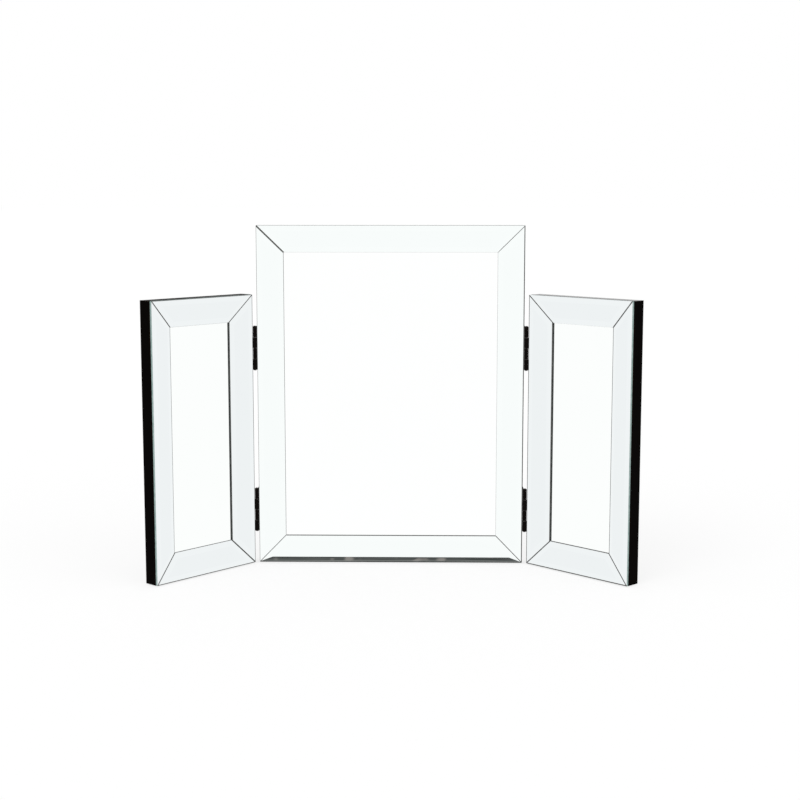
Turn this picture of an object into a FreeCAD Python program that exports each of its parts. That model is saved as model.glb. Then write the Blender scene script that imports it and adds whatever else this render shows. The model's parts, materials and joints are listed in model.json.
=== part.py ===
"""Trifold vanity mirror: a centre panel and two narrower wings on butt hinges.

All sizes are in millimetres.  The frame's origin is on the table, under the middle of the
centre panel's board.  +X runs to the viewer's right, +Y away from the viewer, +Z up.
Depths are measured from the front plane of a panel (the outer corner of its border glass)
towards its back.
"""
import FreeCAD, Part
import math
import os

# Panels
centre_width = 397.8
centre_height = 508.0
wing_width = 190.5
wing_height = 406.4
board_thickness = 21.6
board_edge_round = 1.0

# Sloping border of mirrored glass strips
border_width = 39.8
border_drop = 8.5
strip_thickness = 5.0
strip_edge_thickness = 3.5
bevel_width = 8.0
board_reveal = 0.2
mitre_gap = 0.4
strip_tape_thickness = 0.5
strip_tape_margin = 3.0

# Flat mirror in the middle of each panel
mirror_thickness = 4.0
mirror_lap = 3.0
mirror_side_clearance = 0.5
mirror_face_clearance = 0.05
mirror_tape_thickness = 1.0
mirror_tape_width = 20.0
mirror_tape_margin = 15.0
centre_tape_bands = 3
wing_tape_bands = 2

# Felt feet
foot_thickness = 1.5
foot_diameter = 10.0
foot_end_distance = 30.0
centre_feet = 3
wing_feet = 2

# Butt hinges
hinge_length = 65.0
lower_hinge_margin = 49.0
upper_hinge_margin = 47.5
knuckle_radius = 3.0
knuckle_count = 4
knuckle_gap = 0.3
knuckle_end_round = 0.3
knuckle_seam = 0.3
leaf_thickness = 1.5
leaf_depth = 22.0
leaf_corner_radius = 2.5
leaf_edge_round = 0.3
leaf_notch_clearance = 0.4
axis_stand_off = 1.2
pin_clearance = 0.05
pin_head_radius = 2.7
pin_head_height = 0.9
pin_head_clearance = 0.1

# Countersunk wood screws, staggered in two rows on each leaf
screws_per_leaf = 3
screw_end_distance = 10.0
screw_row_inset = 5.5
screw_radius = 1.6
screw_head_radius = 3.0
screw_head_height = 1.4
screw_length = 16.0
screw_tip_length = 3.0
screw_clearance = 0.05
pilot_extra_depth = 1.0
cross_slot_width = 0.8
cross_slot_length = 3.4
cross_slot_depth = 1.0

# How far each wing is folded forward from flat, in degrees
left_fold_angle = 49.4
right_fold_angle = 45.0

# Worked-out values
sides = {"left": -1, "right": 1}
rest_fold = {"left": left_fold_angle, "right": right_fold_angle}
diagonal = math.sqrt(2)
slope = border_drop / border_width
slant = math.hypot(1.0, slope)
board_front = (strip_tape_thickness + strip_edge_thickness) * slant - board_reveal * slope
board_back = board_front + board_thickness
mirror_inset = border_width - mirror_lap
pocket_inset = mirror_inset - mirror_side_clearance
mirror_front = board_front + border_drop - strip_tape_thickness * slant + mirror_face_clearance
pocket_floor = mirror_front + mirror_thickness + mirror_tape_thickness
foot_depth = board_front + board_thickness / 2
axis_x = centre_width / 2 + knuckle_radius
axis_y = -foot_depth - axis_stand_off
segment_length = hinge_length / knuckle_count
bore_radius = knuckle_radius - leaf_thickness
pin_radius = bore_radius - pin_clearance
hinge_bottoms = {
    "lower": foot_thickness + lower_hinge_margin,
    "upper": foot_thickness + wing_height - upper_hinge_margin - hinge_length,
}

X = FreeCAD.Vector(1, 0, 0)
Y = FreeCAD.Vector(0, 1, 0)
Z = FreeCAD.Vector(0, 0, 1)


def at(x, y, z):
    return FreeCAD.Vector(x, y, z)


def polyhedron(faces):
    """A solid from a list of flat faces, each a list of its corner points in order."""
    shell = Part.makeShell([Part.Face(Part.makePolygon(face + face[:1])) for face in faces])
    solid = Part.Solid(shell)
    if solid.Volume < 0:
        solid.reverse()
    return solid


def stacked_rings(rings):
    """A closed solid through four-cornered rings stacked from the back to the front."""
    faces = [rings[0], rings[-1]]
    for lower, upper in zip(rings, rings[1:]):
        for i in range(4):
            j = (i + 1) % 4
            faces.append([lower[i], lower[j], upper[j], upper[i]])
    return polyhedron(faces)


def evenly(count, first, last):
    """Positions from first to last, the ends included."""
    step = (last - first) / max(count - 1, 1)
    return [first + step * i for i in range(count)]


def edges_at(shape, axis, position):
    """The edges whose ends both lie at a position along the axis "x", "y" or "z"."""
    return [edge for edge in shape.Edges
            if all(abs(getattr(vertex.Point, axis) - position) < 0.001 for vertex in edge.Vertexes)]


# ---------------------------------------------------------------- panels
# A panel is built with its lower left corner at x = 0, z = 0 and its front plane at y = 0.
# A border piece is built along the bottom edge; an inset is a distance from that edge.

def board_slope(inset):
    """Depth of the board's sloping face at an inset from its outer edge."""
    return board_front + inset * slope


def border_ring(length, outer, inner, mitre, lift):
    """Outline of a mitred border piece, raised by lift from the board's slope."""
    height = lift * slant
    corners = [(outer + mitre, outer), (length - outer - mitre, outer),
               (length - inner - mitre, inner), (inner + mitre, inner)]
    return [at(x, board_slope(inset) - height, inset) for x, inset in corners]


def bevelled_strip(length):
    """A glass strip with mitred ends and a wide bevel along all four edges."""
    bevel_inset = bevel_width / slant
    end_gap = mitre_gap / diagonal
    end_bevel = end_gap + bevel_width * diagonal
    glass_back = strip_tape_thickness
    back = border_ring(length, board_reveal, border_width, end_gap, glass_back)
    edge = border_ring(length, board_reveal, border_width, end_gap,
                       glass_back + strip_edge_thickness)
    face = border_ring(length, board_reveal + bevel_inset, border_width - bevel_inset, end_bevel,
                       glass_back + strip_thickness)
    return stacked_rings([back, edge, face])


def strip_tape(length):
    """The thin adhesive tape between a strip and the board's slope."""
    outer = board_reveal + strip_tape_margin
    inner = pocket_inset - mirror_side_clearance
    mitre = strip_tape_margin
    return stacked_rings([border_ring(length, outer, inner, mitre, 0.0),
                          border_ring(length, outer, inner, mitre, strip_tape_thickness)])


def around_border(make, width, height):
    """One border piece for each edge of a panel, turned into its place."""
    turns = {"bottom": (width, 0, at(0, 0, 0)), "right": (height, -90, at(width, 0, 0)),
             "top": (width, 180, at(width, 0, height)), "left": (height, 90, at(0, 0, height))}
    pieces = {}
    for edge, (length, degrees, corner) in turns.items():
        piece = make(length)
        piece.rotate(at(0, 0, 0), Y, degrees)
        piece.translate(corner)
        pieces[edge] = piece
    return pieces


def rectangle(width, height, inset, depth):
    """Corners of the panel's outline, inset by a distance, at a depth."""
    return [at(inset, depth, inset), at(width - inset, depth, inset),
            at(width - inset, depth, height - inset), at(inset, depth, height - inset)]


def board(width, height):
    """A fibreboard panel: sloping border faces around a flat pocket for the mirror."""
    blank = Part.makeBox(width, board_thickness, height, at(0, board_front, 0))
    blank = blank.makeFillet(board_edge_round, edges_at(blank, "y", board_back))
    clear = 1.0
    tray = stacked_rings([rectangle(width, height, border_width, board_slope(border_width)),
                          rectangle(width, height, -clear, board_slope(-clear))])
    pocket = Part.makeBox(width - 2 * pocket_inset, pocket_floor, height - 2 * pocket_inset,
                          at(pocket_inset, 0, pocket_inset))
    return blank.cut(tray).cut(pocket).removeSplitter()


def flat_mirror(width, height):
    return Part.makeBox(width - 2 * mirror_inset, mirror_thickness, height - 2 * mirror_inset,
                        at(mirror_inset, mirror_front, mirror_inset))


def mirror_tape(width, height, bands):
    """Upright bands of foam tape between the mirror and the pocket's floor."""
    margin = mirror_inset + mirror_tape_margin
    starts = evenly(bands, margin, width - margin - mirror_tape_width)
    return Part.makeCompound([
        Part.makeBox(mirror_tape_width, mirror_tape_thickness, height - 2 * margin,
                     at(x, pocket_floor - mirror_tape_thickness, margin)) for x in starts])


def feet(width, count):
    """Round felt pads under the board's bottom edge."""
    centres = evenly(count, foot_end_distance, width - foot_end_distance)
    return Part.makeCompound([
        Part.makeCylinder(foot_diameter / 2, foot_thickness, at(x, foot_depth, -foot_thickness))
        for x in centres])


def panel(width, height, tape_bands, foot_count):
    """Every piece of one panel, by name."""
    pieces = {"board": board(width, height), "mirror": flat_mirror(width, height),
              "mirror_tape": mirror_tape(width, height, tape_bands),
              "feet": feet(width, foot_count)}
    for edge, strip in around_border(bevelled_strip, width, height).items():
        pieces["strip_" + edge] = strip
    tapes = around_border(strip_tape, width, height)
    pieces["strip_tape"] = Part.makeCompound(list(tapes.values()))
    return pieces


# ---------------------------------------------------------------- hinges
# A hinge is built with its axis on Z from z = 0 and its leaf on the +X side, lying against
# the board's side face at x = knuckle_radius.  Y is the depth behind the axis.

def screw_places():
    """Depth and height of each screw on a leaf, in two staggered rows."""
    rows = [axis_stand_off + board_front + screw_row_inset, leaf_depth - screw_row_inset]
    heights = evenly(screws_per_leaf, screw_end_distance, hinge_length - screw_end_distance)
    return [(rows[i % 2], z) for i, z in enumerate(heights)]


def along_x(points, depth, height):
    """A round solid about an axis along X, from its profile points (x, radius)."""
    outline = [at(x, depth + radius, height) for x, radius in points]
    profile = Part.Face(Part.makePolygon(outline + outline[:1]))
    return profile.revolve(at(0, depth, height), X, 360)


def screw(depth, height):
    """A countersunk wood screw whose head is flush with the leaf, with a cross slot."""
    top = knuckle_radius - leaf_thickness
    neck = top + screw_head_height
    tip = top + screw_length
    body = along_x([(top, 0), (top, screw_head_radius), (neck, screw_radius),
                    (tip - screw_tip_length, screw_radius), (tip, 0)], depth, height)
    half_width = cross_slot_width / 2
    half_length = cross_slot_length / 2
    for y, z in ((half_width, half_length), (half_length, half_width)):
        body = body.cut(Part.makeBox(cross_slot_depth, 2 * y, 2 * z, at(top, depth - y, height - z)))
    return body


def countersunk_hole(depth, height):
    """What a screw takes out of its leaf, with clearance."""
    top = knuckle_radius - leaf_thickness
    neck = top + screw_head_height
    wide = screw_head_radius + screw_clearance
    narrow = screw_radius + screw_clearance
    return along_x([(top, 0), (top, wide), (neck, narrow), (knuckle_radius, narrow),
                    (knuckle_radius, 0)], depth, height)


def pilot_hole(depth, height):
    """What a screw takes out of the board, with clearance."""
    end = knuckle_radius - leaf_thickness + screw_length + pilot_extra_depth
    return Part.makeCylinder(screw_radius + screw_clearance, end - knuckle_radius,
                             at(knuckle_radius, depth, height), X)


def leaf_plate(inner_face, notch):
    """The flat of a leaf, with round corners at the back and worn edges on its open face."""
    plate = Part.makeBox(leaf_thickness, leaf_depth - notch, hinge_length, at(inner_face, notch, 0))
    corners = [edge for z in (0, hinge_length) for edge in edges_at(plate, "z", z)
               if all(abs(vertex.Point.y - leaf_depth) < 0.001 for vertex in edge.Vertexes)]
    plate = plate.makeFillet(leaf_corner_radius, corners)
    notch_edges = [edge.hashCode() for edge in edges_at(plate, "y", notch)]
    rim = [edge for edge in edges_at(plate, "x", inner_face) if edge.hashCode() not in notch_edges]
    return plate.makeFillet(leaf_edge_round, rim)


def leaf(own_segments):
    """A rolled sheet leaf: plate, its own knuckles, and notches at the other leaf's knuckles.

    The sheet goes round the pin and ends at the plate's inner face, where a thin seam stays open.
    """
    inner_face = knuckle_radius - leaf_thickness
    notch = knuckle_radius + leaf_notch_clearance
    shape = leaf_plate(inner_face, notch)
    length = segment_length - knuckle_gap
    for index in own_segments:
        bottom = index * segment_length + knuckle_gap / 2
        roll = Part.makeCylinder(knuckle_radius, length, at(0, 0, bottom))
        rims = edges_at(roll, "z", bottom) + edges_at(roll, "z", bottom + length)
        strap = Part.makeBox(leaf_thickness, notch, length, at(inner_face, 0, bottom))
        shape = shape.fuse(roll.makeFillet(knuckle_end_round, rims)).fuse(strap)
    shape = shape.cut(Part.makeCylinder(bore_radius, hinge_length))
    shape = shape.cut(Part.makeBox(knuckle_seam, knuckle_radius, hinge_length,
                                   at(inner_face - knuckle_seam, 0, 0)))
    for depth, height in screw_places():
        shape = shape.cut(countersunk_hole(depth, height))
    return shape.removeSplitter()


def hinge_pin():
    """The pin with a domed head at each end."""
    reach = pin_head_clearance
    shank = Part.makeCylinder(pin_radius, hinge_length + 2 * reach, at(0, 0, -reach))
    dome_radius = (pin_head_radius ** 2 + pin_head_height ** 2) / (2 * pin_head_height)
    ball = Part.makeSphere(dome_radius, at(0, 0, pin_head_height - dome_radius))
    cap = ball.common(Part.makeCylinder(pin_head_radius, pin_head_height))
    top = cap.translated(at(0, 0, hinge_length + reach))
    bottom = cap.rotated(at(0, 0, 0), X, 180).translated(at(0, 0, -reach))
    return shank.fuse(top).fuse(bottom).removeSplitter()


def mirrored_to(side, shape):
    """A hinge piece for a board on the -X side of the axis is the mirror image."""
    return shape if side > 0 else shape.mirror(at(0, 0, 0), X)


# ---------------------------------------------------------------- placing

def on_centre(shape):
    """From a panel's own corner to the centre panel's place."""
    return shape.translated(at(-centre_width / 2, -foot_depth, foot_thickness))


def beside_axis(side, shape):
    """From a wing's own corner to its place beside the hinge axis, wing unfolded."""
    start = knuckle_radius if side > 0 else -knuckle_radius - wing_width
    return shape.translated(at(start, axis_stand_off, foot_thickness))


def on_axis(side, shape):
    return shape.translated(at(side * axis_x, axis_y, 0))


def folded(name, shape):
    """From beside the hinge axis to the wing's rest place, folded forward."""
    side = sides[name]
    return on_axis(side, shape.rotated(at(0, 0, 0), Z, -side * rest_fold[name]))


def drilled(shape, holes):
    for hole in holes:
        shape = shape.cut(hole)
    return shape


def pilot_holes(side):
    """All pilot holes of one board side, beside the hinge axis."""
    return [mirrored_to(side, pilot_hole(depth, bottom + height))
            for bottom in hinge_bottoms.values() for depth, height in screw_places()]


def centre_nodes():
    nodes = {}
    for name, piece in panel(centre_width, centre_height, centre_tape_bands, centre_feet).items():
        nodes["centre_" + name] = on_centre(piece)
    holes = [on_axis(side, hole) for side in sides.values() for hole in pilot_holes(-side)]
    nodes["centre_board"] = drilled(nodes["centre_board"], holes)
    return nodes


def wing_nodes(name):
    side = sides[name]
    nodes = {}
    for piece_name, piece in panel(wing_width, wing_height, wing_tape_bands, wing_feet).items():
        placed = beside_axis(side, piece)
        if piece_name == "board":
            placed = drilled(placed, pilot_holes(side))
        nodes[name + "_wing_" + piece_name] = folded(name, placed)
    return nodes


def hinge_nodes(name, level):
    """Two leaves, a pin and two sets of screws; the top knuckle is the centre leaf's."""
    side = sides[name]
    lift = at(0, 0, hinge_bottoms[level])
    wing_segments = range(0, knuckle_count, 2)
    centre_segments = range(1, knuckle_count, 2)
    screws = Part.makeCompound([screw(depth, height) for depth, height in screw_places()])
    prefix = level + "_" + name + "_hinge_"
    centre_pieces = {"centre_leaf": leaf(centre_segments), "centre_screws": screws}
    wing_pieces = {"wing_leaf": leaf(wing_segments), "wing_screws": screws}
    nodes = {prefix + "pin": on_axis(side, hinge_pin().translated(lift))}
    for piece_name, piece in centre_pieces.items():
        nodes[prefix + piece_name] = on_axis(side, mirrored_to(-side, piece).translated(lift))
    for piece_name, piece in wing_pieces.items():
        nodes[prefix + piece_name] = folded(name, mirrored_to(side, piece).translated(lift))
    return nodes


def all_nodes():
    nodes = centre_nodes()
    for name in sides:
        nodes.update(wing_nodes(name))
        for level in hinge_bottoms:
            nodes.update(hinge_nodes(name, level))
    return nodes


def main():
    os.makedirs("parts", exist_ok=True)
    for name, shape in all_nodes().items():
        shape.exportStep("parts/" + name + ".step")
        print(name, "solids", len(shape.Solids), "volume", round(shape.Volume, 1), shape.isValid())


main()
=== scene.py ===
"""Finish of a trifold vanity mirror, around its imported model.  Lengths are in metres.

The row frame has +X to the viewer's right, +Y away from the viewer and +Z up, with the table
at z = 0.  A panel's own frame has x along its width, y into its depth and z up; a wing's is
turned about its hinge axis by the wing's fold.
"""
import json
import math

import bpy
import numpy as np
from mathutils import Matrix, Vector


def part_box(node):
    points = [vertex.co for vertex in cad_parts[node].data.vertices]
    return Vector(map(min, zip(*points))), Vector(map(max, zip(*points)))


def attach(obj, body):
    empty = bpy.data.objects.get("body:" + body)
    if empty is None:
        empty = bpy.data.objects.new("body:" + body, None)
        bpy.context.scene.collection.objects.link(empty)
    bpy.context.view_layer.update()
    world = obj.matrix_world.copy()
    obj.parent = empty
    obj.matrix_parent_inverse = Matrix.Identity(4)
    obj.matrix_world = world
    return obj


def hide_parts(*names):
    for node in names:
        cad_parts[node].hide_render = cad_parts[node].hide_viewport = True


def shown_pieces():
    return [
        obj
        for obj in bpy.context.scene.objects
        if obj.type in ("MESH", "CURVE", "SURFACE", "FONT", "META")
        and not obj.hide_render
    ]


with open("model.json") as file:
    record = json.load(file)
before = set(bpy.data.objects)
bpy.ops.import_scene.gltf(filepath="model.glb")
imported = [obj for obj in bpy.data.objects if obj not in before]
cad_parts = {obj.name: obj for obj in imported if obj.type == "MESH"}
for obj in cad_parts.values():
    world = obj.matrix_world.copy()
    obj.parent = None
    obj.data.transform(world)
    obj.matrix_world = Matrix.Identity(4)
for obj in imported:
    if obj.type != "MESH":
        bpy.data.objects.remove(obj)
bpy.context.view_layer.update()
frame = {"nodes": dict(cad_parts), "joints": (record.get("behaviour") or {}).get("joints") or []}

# Camera
picture_width = 800
focal_pixels = 1509.8
sensor_width = 36.0
camera_place = Vector((0.0553, -2.2513, 0.5541))
camera_aim = Vector((0.0139, 0.0, 0.2481))

# Light: a white room and two wide soft lamps, each with its place, its strength and its spread
# in degrees.  The floor is partly its own glow to the camera, and partly lit, with the shadow.
room_strength = 0.75
lamps = {"key_lamp": ((-1.6, -2.2, 2.6), 0.65, 35.0),
         "fill_lamp": ((2.4, -1.6, 1.4), 0.3, 50.0)}
floor_half_width = 60.0
floor_glow_share = 0.72
floor_glow_level = 1.067

# Sloping border of mirrored glass strips, as in the solids
border_width = 0.0398
border_drop = 0.0085
board_reveal = 0.0002
strip_tape_thickness = 0.0005
strip_thickness = 0.005
strip_edge_thickness = 0.0035
bevel_width = 0.008
mitre_gap = 0.0004

# Seamed edges of the strips, ground by hand, so their widths vary.  Outer and inner widths are for
# the bottom, right, top and left strip; mitre widths are for the corner where each of them starts.
seam_widths = {
    "centre": {"outer": (0.0014, 0.0014, 0.0, 0.0005),
               "inner": (0.0007, 0.00015, 0.00015, 0.0003),
               "mitre": (0.0003, 0.0004, 0.00025, 0.00095)},
    "left_wing": {"outer": (0.0011, 0.0008, 0.0008, 0.0),
                  "inner": (0.0, 0.0013, 0.0002, 0.0009),
                  "mitre": (0.0006, 0.0008, 0.0005, 0.0006)},
    "right_wing": {"outer": (0.0014, 0.0, 0.0, 0.0010),
                   "inner": (0.0004, 0.0011, 0.0001, 0.0016),
                   "mitre": (0.00065, 0.0006, 0.0007, 0.0006)},
}
seam_depth = 0.00012
back_seam = 0.0003
mirror_seam = 0.0005

# Felt feet
feet_count = {"centre": 3, "left_wing": 2, "right_wing": 2}
felt_rim_round = 0.0004
felt_rim_steps = 5
felt_sides = 48

# Hinges.  Paint is rubbed off the knuckles within their reach of the pin's axis: most where the
# joint between two of them is nearer than the bare distance, and none past the end distance.
knuckle_count = 4
knuckle_reach = 0.0032
knuckle_rim_bare = 0.0003
knuckle_rim_end = 0.0011

# Boards.  The back's satin coat and the top's coat start at these distances from their faces, and
# the back's is full at the second.  Edges are rubbed over at most the last width, give or take grit.
back_coat_start = 0.0012
back_coat_full = 0.0003
top_coat_start = 0.0008
edge_rub_width = 0.0013

# Smooth coat on each panel's top, where the paint pooled: it shines only at a grazing angle
top_coat = {"centre": 1.0, "left_wing": 0.0, "right_wing": 0.9}

# How strongly each mark covers what is under it
rub_strength = {"board": 0.5, "hinge": 0.6}
speck_strength = 0.5
haze_strength = 0.05
settled_dust_strength = 0.15
bare_fibre_strength = 0.6
bare_hinge_strength = 0.2
bare_screw_strength = 0.4
glass_haze_strength = 0.4

# How metallic the paint is where it is worn through, and what share of its tint dusty glass keeps
bare_hinge_metallic = 0.4
bare_screw_metallic = 0.6
glass_dulling = 0.985

# Heights at which the painted dark reflection on the lower bevel starts to turn paler and is palest,
# and how far it gets there
painted_reflection_pale_start = 0.0056
painted_reflection_pale_full = 0.0036
painted_reflection_pale_strength = 0.7

# Tints of the silvered glass, with painted light in them: the wings' glass and the strips are darker
# than the centre's mirror as painted shade, and the bevels a touch lighter than the strips as a
# painted highlight.  Colours are linear red, green and blue.
silver_tints_and_painted_shade = {
    "centre": {"mirror": (0.995, 1.0, 0.998), "strip": (0.939, 0.973, 0.965),
               "bevel": (0.945, 0.978, 0.970)},
    "wing": {"mirror": (0.973, 0.991, 0.982), "strip": (0.855, 0.888, 0.896),
             "bevel": (0.870, 0.903, 0.910)},
}

# Pairs of tones that a pattern mixes in each finish
tone_pairs = {
    "green_outer_edge": ((0.24, 0.34, 0.32), (0.38, 0.49, 0.465)),
    "olive_mitre_edge": ((0.045, 0.045, 0.038), (0.09, 0.09, 0.078)),
    "dark_inner_edge": ((0.004, 0.006, 0.005), (0.045, 0.055, 0.05)),
    "grey_seamed_edge": ((0.05, 0.052, 0.048), (0.12, 0.122, 0.115)),
    "painted_reflection_bevel": ((0.040, 0.047, 0.045), (0.105, 0.112, 0.108)),
    "backing_paint": ((0.19, 0.185, 0.18), (0.27, 0.26, 0.245)),
    "board_back": ((0.0085, 0.0080, 0.0078), (0.0150, 0.0142, 0.0138)),
    "board_fibre": ((0.016, 0.009, 0.006), (0.055, 0.034, 0.02)),
    "hinge_paint": ((0.0022, 0.0016, 0.0013), (0.0075, 0.0058, 0.0048)),
    "screw_oxide": ((0.004, 0.004, 0.005), (0.012, 0.011, 0.011)),
    "felt": ((0.010, 0.010, 0.011), (0.045, 0.043, 0.042)),
    "foam_tape": ((0.62, 0.61, 0.58), (0.78, 0.77, 0.74)),
    "thin_tape": ((0.66, 0.65, 0.60), (0.76, 0.75, 0.71)),
}

# Single tones of marks, of wear, of the painted reflection on the lower bevel and of plain surfaces
painted_reflection_blotch = (0.25, 0.24, 0.225)
painted_reflection_lower_tone = (0.24, 0.25, 0.245)
board_side_paint = (0.0016, 0.0009, 0.0007)
board_rub = (0.030, 0.029, 0.028)
board_dust = (0.30, 0.28, 0.255)
hinge_rub = (0.020, 0.014, 0.010)
hinge_bare_metal = (0.10, 0.08, 0.065)
screw_bare_metal = (0.20, 0.19, 0.18)
trapped_air = (0.84, 0.84, 0.82)
floor_colour = (0.9, 0.9, 0.9)

panel_names = ("centre", "left_wing", "right_wing")
edge_names = ("bottom", "right", "top", "left")

# Material slots of a glass strip and of a flat mirror, in order
strip_slots = ("back", "face", "outer", "mitre", "inner", "bevel", "outer_bevel", "seam",
               "outer_seam")
mirror_slots = ("back", "face", "edge")


# ---------------------------------------------------------------- frames of the panels

def turn_about_z(angle):
    c, s = math.cos(angle), math.sin(angle)
    return np.array([[c, -s, 0.0], [s, c, 0.0], [0.0, 0.0, 1.0]])


def panel_turn(panel):
    """A panel's turn about +Z at rest, and a point on its axis.

    A wing's upper limit folds it flat onto the centre, half a turn from the flat position.
    """
    for joint in frame["joints"]:
        if joint["child"] == panel:
            fold = math.radians(180.0 - joint["range_deg"][1])
            return joint["axis"][2] * fold, np.array(joint["pos_m"])
    return 0.0, np.zeros(3)


def into_panel(panel, points):
    angle, origin = panel_turn(panel)
    return (points - origin) @ turn_about_z(angle)


def out_of_panel(panel, points):
    angle, origin = panel_turn(panel)
    return points @ turn_about_z(angle).T + origin


def node_box(panel, node):
    """Lowest and highest corner of a node in its panel's own frame."""
    mesh = frame["nodes"][node].data
    points = np.empty(len(mesh.vertices) * 3, np.float32)
    mesh.vertices.foreach_get("co", points)
    local = into_panel(panel, points.reshape(-1, 3).astype(float))
    return local.min(axis=0), local.max(axis=0)


# ---------------------------------------------------------------- shader nodes

def put(tree, kind, inputs=None, **settings):
    """A shader node with its settings and inputs; an input is a value or another node's socket."""
    node = tree.nodes.new("ShaderNode" + kind)
    for key, value in settings.items():
        setattr(node, key, value)
    for key, value in (inputs or {}).items():
        if isinstance(value, bpy.types.NodeSocket):
            tree.links.new(value, node.inputs[key])
        else:
            node.inputs[key].default_value = value
    return node


def maths(tree, operation, a, b=0.0):
    return put(tree, "Math", {0: a, 1: b}, operation=operation).outputs[0]


def product(tree, a, b):
    return maths(tree, "MULTIPLY", a, b)


def larger(tree, a, b):
    return maths(tree, "MAXIMUM", a, b)


def smaller(tree, a, b):
    return maths(tree, "MINIMUM", a, b)


def fade(tree, value, start, end, before=0.0, after=1.0):
    """A smooth change from one level to another as the value goes from start to end."""
    node = put(tree, "MapRange", {"Value": value, "From Min": start, "From Max": end,
                                  "To Min": before, "To Max": after},
               interpolation_type="SMOOTHSTEP")
    return node.outputs[0]


def clouds(tree, place, scale, detail=2.0, roughness=0.5):
    """Noise about 0.5, with that many features to a metre."""
    return put(tree, "TexNoise", {"Vector": place, "Scale": scale, "Detail": detail,
                                  "Roughness": roughness}).outputs[0]


def long_clouds(tree, place, scales, detail=2.0, roughness=0.5):
    """Noise with its own number of features to a metre along each axis."""
    stretched = put(tree, "Mapping", {0: place, "Scale": scales}).outputs[0]
    return clouds(tree, stretched, 1.0, detail, roughness)


def blend_colours(tree, share, first, second):
    colours = [value if isinstance(value, bpy.types.NodeSocket) else (*value, 1.0)
               for value in (first, second)]
    return put(tree, "Mix", {0: share, 6: colours[0], 7: colours[1]}, data_type="RGBA").outputs[2]


def relief(tree, shader, height, depth):
    """Height, from 0 to 1, as a bump that many metres deep."""
    bump = put(tree, "Bump", {"Height": height, "Distance": depth})
    tree.links.new(bump.outputs[0], shader.inputs["Normal"])


def finish_of(name, **values):
    """A material with one Principled shader; returns the material, its tree and the shader."""
    material = bpy.data.materials.new(name)
    material.use_nodes = True
    shader = material.node_tree.nodes["Principled BSDF"]
    for key, value in values.items():
        shader.inputs[key.replace("_", " ")].default_value = value
    return material, material.node_tree, shader


def connect(tree, inputs, **sockets):
    """Links each socket to the input of its name, where underscores stand for spaces."""
    for key, socket in sockets.items():
        tree.links.new(socket, inputs[key.replace("_", " ")])


def new_group(name, inputs, outputs):
    """An empty node group with named sockets; returns its tree, its inputs and its outputs."""
    group = bpy.data.node_groups.new(name, "ShaderNodeTree")
    for names, direction in ((inputs, "INPUT"), (outputs, "OUTPUT")):
        for socket, kind in names.items():
            group.interface.new_socket(name=socket, in_out=direction,
                                       socket_type="NodeSocket" + kind)
    given = group.nodes.new("NodeGroupInput").outputs
    made = group.nodes.new("NodeGroupOutput").inputs
    return group, given, made


def use_group(tree, group, **inputs):
    values = {key.replace("_", " "): value for key, value in inputs.items()}
    return put(tree, "Group", values, node_tree=group).outputs


def object_place(tree):
    return put(tree, "TexCoord").outputs["Object"]


def place_in_panel(tree, panel, centre):
    """Object coordinates turned into a panel's own frame, measured from a centre there."""
    angle, origin = panel_turn(panel)
    start = -(origin @ turn_about_z(angle)) - centre
    return put(tree, "Mapping", {0: object_place(tree), "Location": start,
                                 "Rotation": (0.0, 0.0, -angle)}).outputs[0]


def place_on_edge(tree):
    """The piece's own edge map, U along the outline and V across it."""
    return put(tree, "UVMap", uv_map="edge").outputs[0]


# ---------------------------------------------------------------- shared effects

def edge_wear():
    """Paint rubbed off along a block's edges.

    A point on a block lies on one face.  Of its distances to the three pairs of faces, the
    middle one is the distance to the nearest edge.
    """
    group, given, made = new_group("edge_wear", {"Position": "Vector", "Half Size": "Vector",
                                                 "Width": "Float"}, {"Wear": "Float"})
    place = given["Position"]
    bare_part = 0.4
    size = put(group, "VectorMath", {0: place}, operation="ABSOLUTE").outputs[0]
    gap = put(group, "VectorMath", {0: given["Half Size"], 1: size}, operation="SUBTRACT")
    x, y, z = put(group, "SeparateXYZ", {0: gap.outputs[0]}).outputs
    middle = larger(group, smaller(group, x, y), smaller(group, larger(group, x, y), z))
    patches = fade(group, clouds(group, place, scale=60.0, detail=4.0, roughness=0.6),
                   start=0.45, end=0.66, before=0.02, after=1.0)
    grit = fade(group, clouds(group, place, scale=900.0),
                start=0.3, end=0.7, before=0.4, after=1.4)
    reach = product(group, product(group, given["Width"], patches), grit)
    wear = fade(group, middle, product(group, reach, bare_part), reach, before=1.0, after=0.0)
    connect(group, made, Wear=wear)
    return group


def paint_skin():
    """Sprayed paint: orange peel over slow rolls, slow changes of tone, and long faint rubs."""
    group, given, made = new_group("paint_skin", {"Position": "Vector", "Grain": "Float"},
                                   {"Height": "Float", "Tone": "Float", "Rubs": "Float"})
    place = given["Position"]
    roll_coarseness = 0.08
    peel_part = 0.7
    roll_part = 0.3
    peel = clouds(group, place, scale=given["Grain"])
    rolls = clouds(group, place, scale=product(group, given["Grain"], roll_coarseness), detail=1.0)
    height = maths(group, "ADD", product(group, peel, peel_part), product(group, rolls, roll_part))
    tone = fade(group, clouds(group, place, scale=14.0, detail=5.0, roughness=0.62),
                start=0.3, end=0.72)
    upright = fade(group, long_clouds(group, place, (500.0, 500.0, 9.0), detail=3.0),
                   start=0.68, end=0.8)
    level = fade(group, long_clouds(group, place, (12.0, 12.0, 700.0), detail=3.0),
                 start=0.66, end=0.78)
    connect(group, made, Height=height, Tone=tone, Rubs=larger(group, level, upright))
    return group


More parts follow.
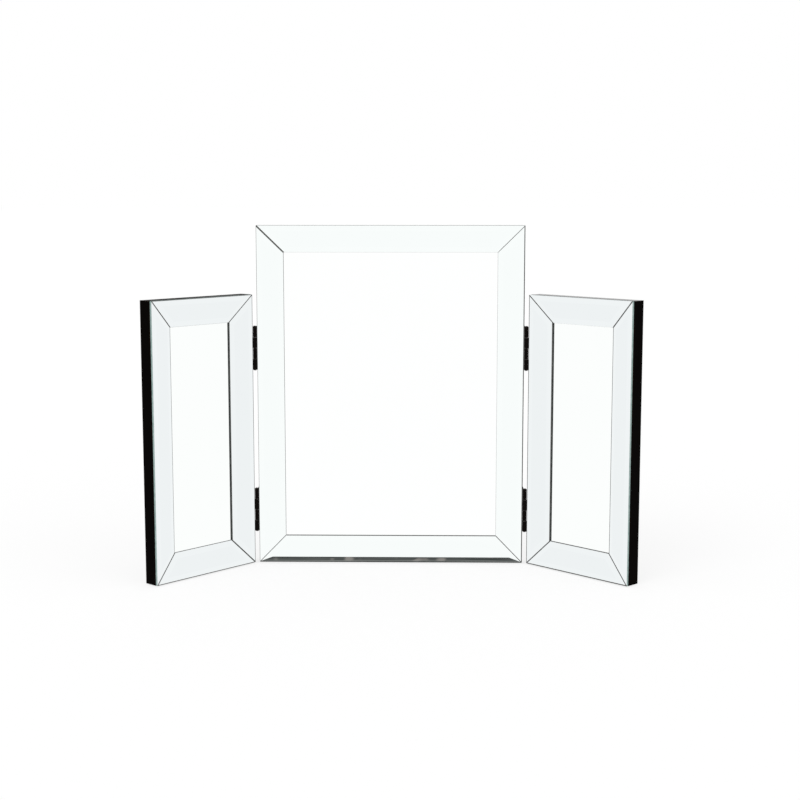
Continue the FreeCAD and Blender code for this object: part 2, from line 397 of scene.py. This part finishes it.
def fallen_dust():
    """Dust: stray specks of uneven size and brightness, soft patches of haze, and a fine grain.

    Each cell has a speck if its first chance is high enough, and its second is the brightness.
    """
    group, given, made = new_group("fallen_dust", {"Position": "Vector", "Cells": "Float"},
                                   {"Specks": "Float", "Haze": "Float", "Grain": "Float"})
    place = given["Position"]
    empty_share = 0.7
    largest_speck = 0.12
    core_part = 0.3
    cell = put(group, "TexVoronoi", {"Vector": place, "Scale": given["Cells"]}).outputs
    chance = put(group, "SeparateColor", {0: cell["Color"]}).outputs
    size = fade(group, chance[0], start=empty_share, end=1.0, before=0.0, after=largest_speck)
    core = product(group, size, core_part)
    spot = fade(group, cell["Distance"], core, size, before=1.0, after=0.0)
    there = maths(group, "GREATER_THAN", chance[0], empty_share)
    specks = product(group, product(group, spot, there), chance[1])
    haze = fade(group, clouds(group, place, scale=9.0, detail=5.0, roughness=0.6),
                start=0.48, end=0.8)
    grain = clouds(group, place, scale=1900.0, detail=3.0, roughness=0.65)
    connect(group, made, Specks=specks, Haze=haze, Grain=grain)
    return group


def float_glass():
    """Silvered float glass: its tint, a little dust and handling haze, and slow draw waves."""
    group, given, made = new_group("float_glass", {"Position": "Vector", "Tint": "Color"},
                                   {"Colour": "Color", "Roughness": "Float", "Height": "Float"})
    place = given["Position"]
    dust = use_group(group, shared["dust"], Position=place, Cells=160.0)
    dulled = put(group, "VectorMath", {0: given["Tint"], "Scale": glass_dulling}, operation="SCALE")
    veil = larger(group, product(group, dust["Haze"], glass_haze_strength), dust["Specks"])
    colour = blend_colours(group, veil, given["Tint"], dulled.outputs[0])
    roughness = fade(group, veil, start=0.0, end=1.0, before=0.004, after=0.05)
    waves = long_clouds(group, place, (18.0, 18.0, 4.0), detail=1.0)
    connect(group, made, Colour=colour, Roughness=roughness, Height=waves)
    return group


def ground_edge():
    """A ground glass edge: wheel streaks along it over a blotchy body."""
    group, given, made = new_group("ground_edge", {"Position": "Vector", "Dark": "Color",
                                                   "Pale": "Color"},
                                   {"Colour": "Color", "Height": "Float"})
    place = given["Position"]
    streak_part = 0.4
    blotch_part = 0.6
    streaks = long_clouds(group, place, (60.0, 4000.0, 1.0), detail=3.0)
    blotches = long_clouds(group, place, (170.0, 170.0, 1.0), detail=3.0, roughness=0.6)
    body = maths(group, "ADD", product(group, streaks, streak_part),
                 product(group, blotches, blotch_part))
    colour = blend_colours(group, fade(group, body, start=0.36, end=0.64),
                           given["Dark"], given["Pale"])
    connect(group, made, Colour=colour, Height=streaks)
    return group


# ---------------------------------------------------------------- stage

def seen_in_glass(tree):
    """1 for mirror and glass rays."""
    path = put(tree, "LightPath").outputs
    return larger(tree, path["Is Glossy Ray"], path["Is Transmission Ray"])


def seen_by_camera(tree):
    return put(tree, "LightPath").outputs["Is Camera Ray"]


def light_room():
    """A white room that lights things at its strength, and is plain white to look at."""
    world = bpy.data.worlds.new("white_room")
    bpy.context.scene.world = world
    world.use_nodes = True
    tree = world.node_tree
    background = tree.nodes["Background"]
    background.inputs["Color"].default_value = (1.0, 1.0, 1.0, 1.0)
    seen = larger(tree, seen_in_glass(tree), seen_by_camera(tree))
    level = put(tree, "MapRange", {"Value": seen, "To Min": room_strength, "To Max": 1.0})
    tree.links.new(level.outputs["Result"], background.inputs["Strength"])


def add_lamp(name, place, strength, spread):
    """A wide soft lamp, far away along the direction of its place."""
    lamp = bpy.data.lights.new(name, "SUN")
    lamp.energy = strength
    lamp.angle = math.radians(spread)
    holder = bpy.data.objects.new(name, lamp)
    holder.location = place
    holder.rotation_euler = (-Vector(place)).to_track_quat("-Z", "Y").to_euler()
    holder.visible_glossy = False
    bpy.context.scene.collection.objects.link(holder)


def lay_floor():
    """A pale floor: white in mirrors, and to the camera white with the object's shadow on it."""
    reach = floor_half_width
    corners = [(-reach, -reach, 0), (reach, -reach, 0), (reach, reach, 0), (-reach, reach, 0)]
    mesh = bpy.data.meshes.new("floor")
    mesh.from_pydata(corners, [], [(0, 1, 2, 3)])
    floor = bpy.data.objects.new("floor", mesh)
    bpy.context.scene.collection.objects.link(floor)
    material, tree, shader = finish_of("white_floor", Base_Color=(*floor_colour, 1.0),
                                       Roughness=0.9, Specular_IOR_Level=0.1)
    glow = put(tree, "Emission", {"Strength": floor_glow_level})
    plain = put(tree, "Emission", {"Strength": 1.0})
    share = product(tree, seen_by_camera(tree), floor_glow_share)
    lit = put(tree, "MixShader", {0: share, 1: shader.outputs[0], 2: glow.outputs[0]})
    both = put(tree, "MixShader", {0: seen_in_glass(tree), 1: lit.outputs[0], 2: plain.outputs[0]})
    tree.links.new(both.outputs[0], tree.nodes["Material Output"].inputs["Surface"])
    mesh.materials.append(material)


def add_camera():
    camera = bpy.data.cameras.new("camera")
    camera.sensor_width = sensor_width
    camera.lens = focal_pixels / picture_width * sensor_width
    holder = bpy.data.objects.new("camera", camera)
    holder.location = camera_place
    holder.rotation_euler = (camera_aim - camera_place).to_track_quat("-Z", "Y").to_euler()
    bpy.context.scene.collection.objects.link(holder)
    bpy.context.scene.camera = holder


# ---------------------------------------------------------------- glass finishes

def silvered(kind, part):
    """Mirror glass on the centre or a wing, as its mirror, a strip's face or a bevel, with painted
    shade and highlight in its tint.
    """
    material, tree, shader = finish_of(f"silvered_{kind}_{part}", Metallic=1.0)
    glass = use_group(tree, shared["glass"], Position=object_place(tree),
                      Tint=(*silver_tints_and_painted_shade[kind][part], 1.0))
    connect(tree, shader.inputs, Base_Color=glass["Colour"], Roughness=glass["Roughness"])
    relief(tree, shader, glass["Height"], depth=0.00002)
    return material


def ground_glass(name):
    """A seamed edge, frosted by the wheel."""
    material, tree, shader = finish_of(name, Roughness=0.45, Specular_IOR_Level=0.2)
    dark, pale = tone_pairs[name]
    edge = use_group(tree, shared["ground"], Position=place_on_edge(tree),
                     Dark=(*dark, 1.0), Pale=(*pale, 1.0))
    connect(tree, shader.inputs, Base_Color=edge["Colour"])
    relief(tree, shader, edge["Height"], depth=0.00002)
    return material


def painted_reflection_bevel():
    """The lower bevel of the bottom strip: a painted dark reflection with painted streaks and
    blotches, paler below.
    """
    material, tree, shader = finish_of("painted_reflection_lower_bevel", Metallic=1.0, Roughness=0.12)
    place = object_place(tree)
    height = put(tree, "SeparateXYZ", {0: place}).outputs["Z"]
    paler = fade(tree, height, painted_reflection_pale_start, painted_reflection_pale_full)
    streaks = fade(tree, long_clouds(tree, place, (16.0, 60.0, 900.0), detail=3.0),
                   start=0.35, end=0.65)
    blotches = fade(tree, long_clouds(tree, place, (42.0, 1.0, 90.0), detail=1.0),
                    start=0.54, end=0.74)
    streaked = blend_colours(tree, streaks, *tone_pairs["painted_reflection_bevel"])
    blotched = blend_colours(tree, blotches, streaked, painted_reflection_blotch)
    pale = product(tree, paler, painted_reflection_pale_strength)
    connect(tree, shader.inputs, Base_Color=blend_colours(tree, pale, blotched, painted_reflection_lower_tone))
    return material


def backing_paint():
    """The grey paint over the silver, sprayed unevenly."""
    material, tree, shader = finish_of("mirror_backing_paint", Roughness=0.6)
    skin = use_group(tree, shared["skin"], Position=object_place(tree), Grain=700.0)
    colour = blend_colours(tree, skin["Tone"], *tone_pairs["backing_paint"])
    connect(tree, shader.inputs, Base_Color=colour)
    relief(tree, shader, skin["Height"], depth=0.00008)
    return material


# ---------------------------------------------------------------- other finishes

def board_paint(panel):
    """Black paint on fibreboard: dense on the sides, a satin roller coat on the back.

    Dust lies on the back and the top, and brown fibre shows where the edges are rubbed.
    """
    material, tree, shader = finish_of(panel + "_black_paint", Specular_IOR_Level=0.008,
                                       Coat_IOR=1.2, Coat_Roughness=0.2)
    low, high = node_box(panel, panel + "_board")
    half = (high - low) / 2
    place = place_in_panel(tree, panel, (high + low) / 2)
    skin = use_group(tree, shared["skin"], Position=object_place(tree), Grain=1100.0)
    wear = use_group(tree, shared["wear"], Position=place, Half_Size=half, Width=edge_rub_width)
    dust = use_group(tree, shared["dust"], Position=object_place(tree), Cells=150.0)
    within = put(tree, "SeparateXYZ", {0: place}).outputs
    back = fade(tree, within["Y"], half[1] - back_coat_start, half[1] - back_coat_full)
    top = fade(tree, within["Z"], half[2] - top_coat_start, half[2])

    rolled = blend_colours(tree, skin["Tone"], *tone_pairs["board_back"])
    rubs = product(tree, skin["Rubs"], rub_strength["board"])
    rubbed = blend_colours(tree, rubs, rolled, board_rub)
    painted = blend_colours(tree, back, board_side_paint, rubbed)

    grainy_haze = product(tree, dust["Haze"], dust["Grain"])
    loose = larger(tree, product(tree, dust["Specks"], speck_strength),
                   product(tree, grainy_haze, haze_strength))
    patches = fade(tree, clouds(tree, place, scale=25.0, detail=4.0, roughness=0.6),
                   start=0.35, end=0.65, before=-0.1, after=0.1)
    settled = fade(tree, maths(tree, "ADD", dust["Grain"], patches),
                   start=0.5, end=0.75, before=0.0, after=settled_dust_strength)
    held = larger(tree, product(tree, loose, back), product(tree, settled, top))
    dusty = blend_colours(tree, held, painted, board_dust)

    fibre = blend_colours(tree, clouds(tree, place, scale=1500.0), *tone_pairs["board_fibre"])
    colour = blend_colours(tree, product(tree, wear["Wear"], bare_fibre_strength), dusty, fibre)
    half_tone = product(tree, skin["Tone"], 0.5)
    roughness = fade(tree, maths(tree, "ADD", held, half_tone),
                     start=0.0, end=1.2, before=0.42, after=0.8)
    connect(tree, shader.inputs, Base_Color=colour, Roughness=roughness,
            Coat_Weight=product(tree, top, top_coat[panel]))
    relief(tree, shader, skin["Height"], depth=0.0001)
    return material


def hinge_paint(side, level):
    """Black baked paint, polished to bronze and bare steel on the rims of the knuckles.

    Heights are measured from the hinge's lower end and wrapped to one knuckle, from half a
    knuckle below a joint between two of them to half a knuckle above it.
    """
    material, tree, shader = finish_of(f"{level}_{side}_hinge_paint", Specular_IOR_Level=0.02)
    low, high = (np.array(corner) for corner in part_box(f"{level}_{side}_hinge_centre_leaf"))
    origin = panel_turn(side + "_wing")[1]
    start = (-origin[0], -origin[1], -low[2])
    place = put(tree, "Mapping", {0: object_place(tree), "Location": start}).outputs[0]
    x, y, z = put(tree, "SeparateXYZ", {0: place}).outputs
    across = put(tree, "CombineXYZ", {0: x, 1: y}).outputs[0]
    radius = put(tree, "VectorMath", {0: across}, operation="LENGTH").outputs["Value"]
    half_knuckle = (high[2] - low[2]) / knuckle_count / 2
    wrapped = put(tree, "Math", {0: z, 1: half_knuckle, 2: -half_knuckle}, operation="WRAP")
    from_joint = maths(tree, "ABSOLUTE", wrapped.outputs[0])
    rim = product(tree,
                  fade(tree, from_joint, knuckle_rim_bare, knuckle_rim_end, before=1.0, after=0.0),
                  maths(tree, "LESS_THAN", radius, knuckle_reach))
    grit = clouds(tree, place, scale=420.0, detail=4.0, roughness=0.6)
    worn = product(tree, rim, fade(tree, grit, start=0.42, end=0.66))
    skin = use_group(tree, shared["skin"], Position=place, Grain=1600.0)
    dark = blend_colours(tree, skin["Tone"], *tone_pairs["hinge_paint"])
    rubs = product(tree, skin["Rubs"], rub_strength["hinge"])
    rubbed = blend_colours(tree, rubs, dark, hinge_rub)
    bare = product(tree, worn, bare_hinge_strength)
    colour = blend_colours(tree, bare, rubbed, hinge_bare_metal)
    roughness = fade(tree, skin["Tone"], start=0.0, end=1.0, before=0.34, after=0.55)
    connect(tree, shader.inputs, Base_Color=colour, Roughness=roughness,
            Metallic=product(tree, worn, bare_hinge_metallic))
    relief(tree, shader, skin["Height"], depth=0.00006)
    return material


def screw_finish():
    """Black oxide, scuffed to bare steel by the driver."""
    material, tree, shader = finish_of("black_screw_finish", Roughness=0.4, Specular_IOR_Level=0.05)
    place = object_place(tree)
    scuffs = fade(tree, clouds(tree, place, scale=2600.0, detail=4.0, roughness=0.65),
                  start=0.6, end=0.75)
    grime = clouds(tree, place, scale=300.0)
    oxide = blend_colours(tree, grime, *tone_pairs["screw_oxide"])
    bare = product(tree, scuffs, bare_screw_strength)
    colour = blend_colours(tree, bare, oxide, screw_bare_metal)
    connect(tree, shader.inputs, Base_Color=colour,
            Metallic=product(tree, scuffs, bare_screw_metallic))
    relief(tree, shader, grime, depth=0.00005)
    return material


def felt():
    """Pressed felt: matted fibres crossing in every direction."""
    material, tree, shader = finish_of("black_felt", Roughness=0.95, Specular_IOR_Level=0.1,
                                       Sheen_Weight=0.3, Sheen_Roughness=0.6)
    place = object_place(tree)
    fibres = larger(tree, long_clouds(tree, place, (900.0, 5000.0, 5000.0)),
                    long_clouds(tree, place, (5000.0, 900.0, 5000.0)))
    lumps = clouds(tree, place, scale=500.0, detail=3.0)
    colour = blend_colours(tree, fade(tree, fibres, start=0.45, end=0.7), *tone_pairs["felt"])
    connect(tree, shader.inputs, Base_Color=colour)
    relief(tree, shader, maths(tree, "ADD", fibres, lumps), depth=0.0003)
    return material


def foam_tape():
    """White foam tape: a close crowd of small open cells."""
    material, tree, shader = finish_of("foam_tape", Roughness=0.9)
    place = object_place(tree)
    cells = put(tree, "TexVoronoi", {"Vector": place, "Scale": 1800.0}).outputs["Distance"]
    colour = blend_colours(tree, cells, *tone_pairs["foam_tape"])
    connect(tree, shader.inputs, Base_Color=colour)
    relief(tree, shader, cells, depth=0.0002)
    return material


def thin_tape():
    """Thin mounting tape: a hazy film with draw lines and trapped air."""
    material, tree, shader = finish_of("thin_mounting_tape", Roughness=0.5)
    place = object_place(tree)
    lines = long_clouds(tree, place, (40.0, 900.0, 900.0))
    air = fade(tree, clouds(tree, place, scale=120.0, detail=3.0), start=0.55, end=0.65)
    film = blend_colours(tree, lines, *tone_pairs["thin_tape"])
    colour = blend_colours(tree, air, film, trapped_air)
    connect(tree, shader.inputs, Base_Color=colour)
    relief(tree, shader, lines, depth=0.00003)
    return material


# ---------------------------------------------------------------- pieces

def stacked(name, rings, band_slots, materials):
    """A closed piece through rings of corner points, rings[k, j], stacked from the back to the face.

    Side j of band k is a quad between rings k and k + 1, with the material band_slots[k][j].  Flat
    faces close the ends: the back has material 0 and the face material 1.  U runs round the outline
    and V across the bands, both in metres.
    """
    bands = rings.shape[0] - 1
    corners = rings.shape[1]
    k, j = (grid.ravel() for grid in np.indices((bands, corners)))
    after = (j + 1) % corners
    quads = np.stack([k * corners + j, k * corners + after,
                      (k + 1) * corners + after, (k + 1) * corners + j], axis=-1)
    ends = [list(range(corners))[::-1], [bands * corners + corner for corner in range(corners)]]
    mesh = bpy.data.meshes.new(name)
    mesh.from_pydata(rings.reshape(-1, 3).tolist(), [], [*quads.tolist(), *ends])
    for material in materials:
        mesh.materials.append(material)
    slots = np.concatenate([np.ravel(band_slots), [0, 1]])
    mesh.polygons.foreach_set("material_index", slots.astype(np.int32))

    sides = np.linalg.norm(np.roll(rings[1], -1, axis=0) - rings[1], axis=1)
    around = np.concatenate([[0.0], np.cumsum(sides)])
    steps = np.linalg.norm(np.diff(rings[:, 0], axis=0), axis=1)
    across = np.concatenate([[0.0], np.cumsum(steps)])
    u = np.stack([around[j], around[j + 1], around[j + 1], around[j]], axis=-1).ravel()
    v = np.stack([across[k], across[k], across[k + 1], across[k + 1]], axis=-1).ravel()
    u = np.concatenate([u, around[ends[0]], around[:corners]])
    v = np.concatenate([v, np.repeat([0.0, across[-1]], corners)])
    edge = mesh.uv_layers.new(name="edge")
    edge.data.foreach_set("uv", np.stack([u, v], axis=-1).ravel().astype(np.float32))
    piece = bpy.data.objects.new(name, mesh)
    bpy.context.scene.collection.objects.link(piece)
    return piece


def strip_rings(length, seams):
    """Rings of a mitred strip along a bottom edge, as (x, depth behind the board's front edge, z).

    A ring is the strip's outline, drawn in by its own inset on the outer, end, inner and start
    side and raised by a lift from the sloping board: back, edge, seam, bevel and face.
    """
    drawn = np.array([[back_seam] * 4, [0.0] * 4, [0.0] * 4, seams, [bevel_width] * 4])
    lift = strip_tape_thickness + np.array([0.0, back_seam, strip_edge_thickness - seam_depth,
                                            strip_edge_thickness, strip_thickness])
    slope = border_drop / border_width
    outer, end, inner, start = drawn.T
    low = board_reveal + outer
    high = border_width - inner
    z = np.stack([low, low, high, high], axis=-1)
    mitred = z + mitre_gap / math.sqrt(2.0)
    from_start = mitred + start[:, None] * math.sqrt(2.0)
    from_end = length - mitred - end[:, None] * math.sqrt(2.0)
    x = np.where([True, False, False, True], from_start, from_end)
    depth = z * slope - lift[:, None] * math.hypot(1.0, slope)
    return np.stack([x, depth, z], axis=-1)


def along_border(rings, edge, low, high):
    """Turns rings made along the bottom edge to another edge of the panel with these corners."""
    x, depth, z = rings[..., 0], rings[..., 1], rings[..., 2]
    width = high[0] - low[0]
    height = high[2] - low[2]
    across, up = {"bottom": (x, z), "right": (width - z, x), "top": (width - x, height - z),
                  "left": (z, height - x)}[edge]
    return np.stack([across, depth, up], axis=-1) + low


def glass_strip(panel, edge, materials):
    """A bevelled strip of the border, with its seams."""
    low, high = node_box(panel, panel + "_board")
    length = (high - low)[0 if edge in ("bottom", "top") else 2]
    seams = seam_widths[panel]
    here = edge_names.index(edge)
    after = (here + 1) % len(edge_names)
    widths = [seams["outer"][here], seams["mitre"][after], seams["inner"][here], seams["mitre"][here]]
    rings = along_border(strip_rings(length, widths), edge, low, high)
    sides = ("outer", "mitre", "inner", "mitre")
    bands = (sides, sides, ("outer_seam", "seam", "seam", "seam"),
             ("outer_bevel", "bevel", "bevel", "bevel"))
    slots = [[strip_slots.index(side) for side in band] for band in bands]
    piece = stacked(f"{panel}_{edge}_glass", out_of_panel(panel, rings), slots,
                    [materials[slot] for slot in strip_slots])
    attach(piece, panel)
    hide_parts(f"{panel}_strip_{edge}")


def flat_glass(panel, materials):
    """The flat mirror in the middle of a panel, a plate with seamed edges."""
    low, high = node_box(panel, panel + "_mirror")
    inset = np.array([mirror_seam, 0.0, 0.0, mirror_seam])
    y = np.array([high[1], high[1] - mirror_seam, low[1] + mirror_seam, low[1]])
    left = low[0] + inset
    right = high[0] - inset
    below = low[2] + inset
    above = high[2] - inset
    corners = ((left, y, below), (right, y, below), (right, y, above), (left, y, above))
    rings = np.stack([np.stack(corner, axis=-1) for corner in corners], axis=1)
    bands = np.full((len(y) - 1, rings.shape[1]), mirror_slots.index("edge"))
    piece = stacked(panel + "_flat_glass", out_of_panel(panel, rings), bands,
                    [materials[slot] for slot in mirror_slots])
    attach(piece, panel)
    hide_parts(panel + "_mirror")


def felt_pad(centre, radius, thickness):
    """Rings of a round pad: radius and height follow a quarter circle at each rim."""
    angle = np.linspace(0.0, 2.0 * math.pi, felt_sides, endpoint=False)
    turn = np.linspace(0.0, math.pi / 2, felt_rim_steps)
    drawn = felt_rim_round * (1.0 - np.sin(turn))
    rise = felt_rim_round * (1.0 - np.cos(turn))
    around = radius - np.concatenate([drawn, drawn[::-1]])
    height = np.concatenate([rise, thickness - rise[::-1]])
    rings = np.stack([around[:, None] * np.cos(angle), around[:, None] * np.sin(angle),
                      np.repeat(height[:, None], felt_sides, axis=1)], axis=-1)
    return rings + centre


def felt_feet(panel, material):
    """The pads under a panel, evenly spaced like its feet in the solids."""
    low, high = node_box(panel, panel + "_feet")
    radius = (high[1] - low[1]) / 2
    places = np.linspace(low[0] + radius, high[0] - radius, feet_count[panel])
    for number, x in enumerate(places, 1):
        name = f"{panel}_felt_pad_{number}"
        rings = felt_pad(np.array([x, low[1] + radius, low[2]]), radius, high[2] - low[2])
        bands = np.zeros((rings.shape[0] - 1, felt_sides), int)
        piece = stacked(name, out_of_panel(panel, rings), bands, [material, material])
        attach(piece, panel)
        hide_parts(panel + "_feet")


# ---------------------------------------------------------------- dressing

def dress_glass():
    """The mirrors and the border strips.  The centre's bottom strip has a painted dark reflection on
    its lower bevel, and the seam below it is painted dark to go with it.
    """
    backing = backing_paint()
    painted_bevel_reflection = painted_reflection_bevel()
    green, olive, dark, grey = (ground_glass(name) for name in (
        "green_outer_edge", "olive_mitre_edge", "dark_inner_edge", "grey_seamed_edge"))
    silver = {kind: {part: silvered(kind, part) for part in parts}
              for kind, parts in silver_tints_and_painted_shade.items()}
    for panel in panel_names:
        glass = silver[panel.split("_")[-1]]
        flat_glass(panel, {"back": backing, "face": glass["mirror"], "edge": dark})
        for edge in edge_names:
            materials = {"back": backing, "face": glass["strip"], "outer": green, "mitre": olive,
                         "inner": dark, "bevel": glass["bevel"], "outer_bevel": glass["bevel"],
                         "seam": grey, "outer_seam": grey}
            # The centre's bottom strip: painted dark reflection on its lower bevel, and its outer
            # seam painted dark too
            if (panel, edge) == ("centre", "bottom"):
                materials.update(outer_bevel=painted_bevel_reflection, outer_seam=dark)
            glass_strip(panel, edge, materials)


def paint_node(node, material):
    slots = frame["nodes"][node].data.materials
    slots.clear()
    slots.append(material)


def dress_boards():
    pads, foam, thin = felt(), foam_tape(), thin_tape()
    for panel in panel_names:
        paint_node(panel + "_board", board_paint(panel))
        paint_node(panel + "_mirror_tape", foam)
        paint_node(panel + "_strip_tape", thin)
        felt_feet(panel, pads)


def dress_hinges():
    screws = screw_finish()
    for side in ("left", "right"):
        for level in ("lower", "upper"):
            paint = hinge_paint(side, level)
            for piece in ("pin", "centre_leaf", "wing_leaf"):
                paint_node(f"{level}_{side}_hinge_{piece}", paint)
            for piece in ("centre_screws", "wing_screws"):
                paint_node(f"{level}_{side}_hinge_{piece}", screws)


# ---------------------------------------------------------------- run

shared = {"wear": edge_wear(), "skin": paint_skin(), "dust": fallen_dust(), "ground": ground_edge()}
shared["glass"] = float_glass()

dress_glass()
dress_boards()
dress_hinges()

# The mirrors show the white room alone, so the pieces are hidden from mirror rays
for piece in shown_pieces():
    piece.visible_glossy = False

light_room()
for lamp_name, settings in lamps.items():
    add_lamp(lamp_name, *settings)
lay_floor()
add_camera()
bpy.context.scene.view_settings.view_transform = "Standard"
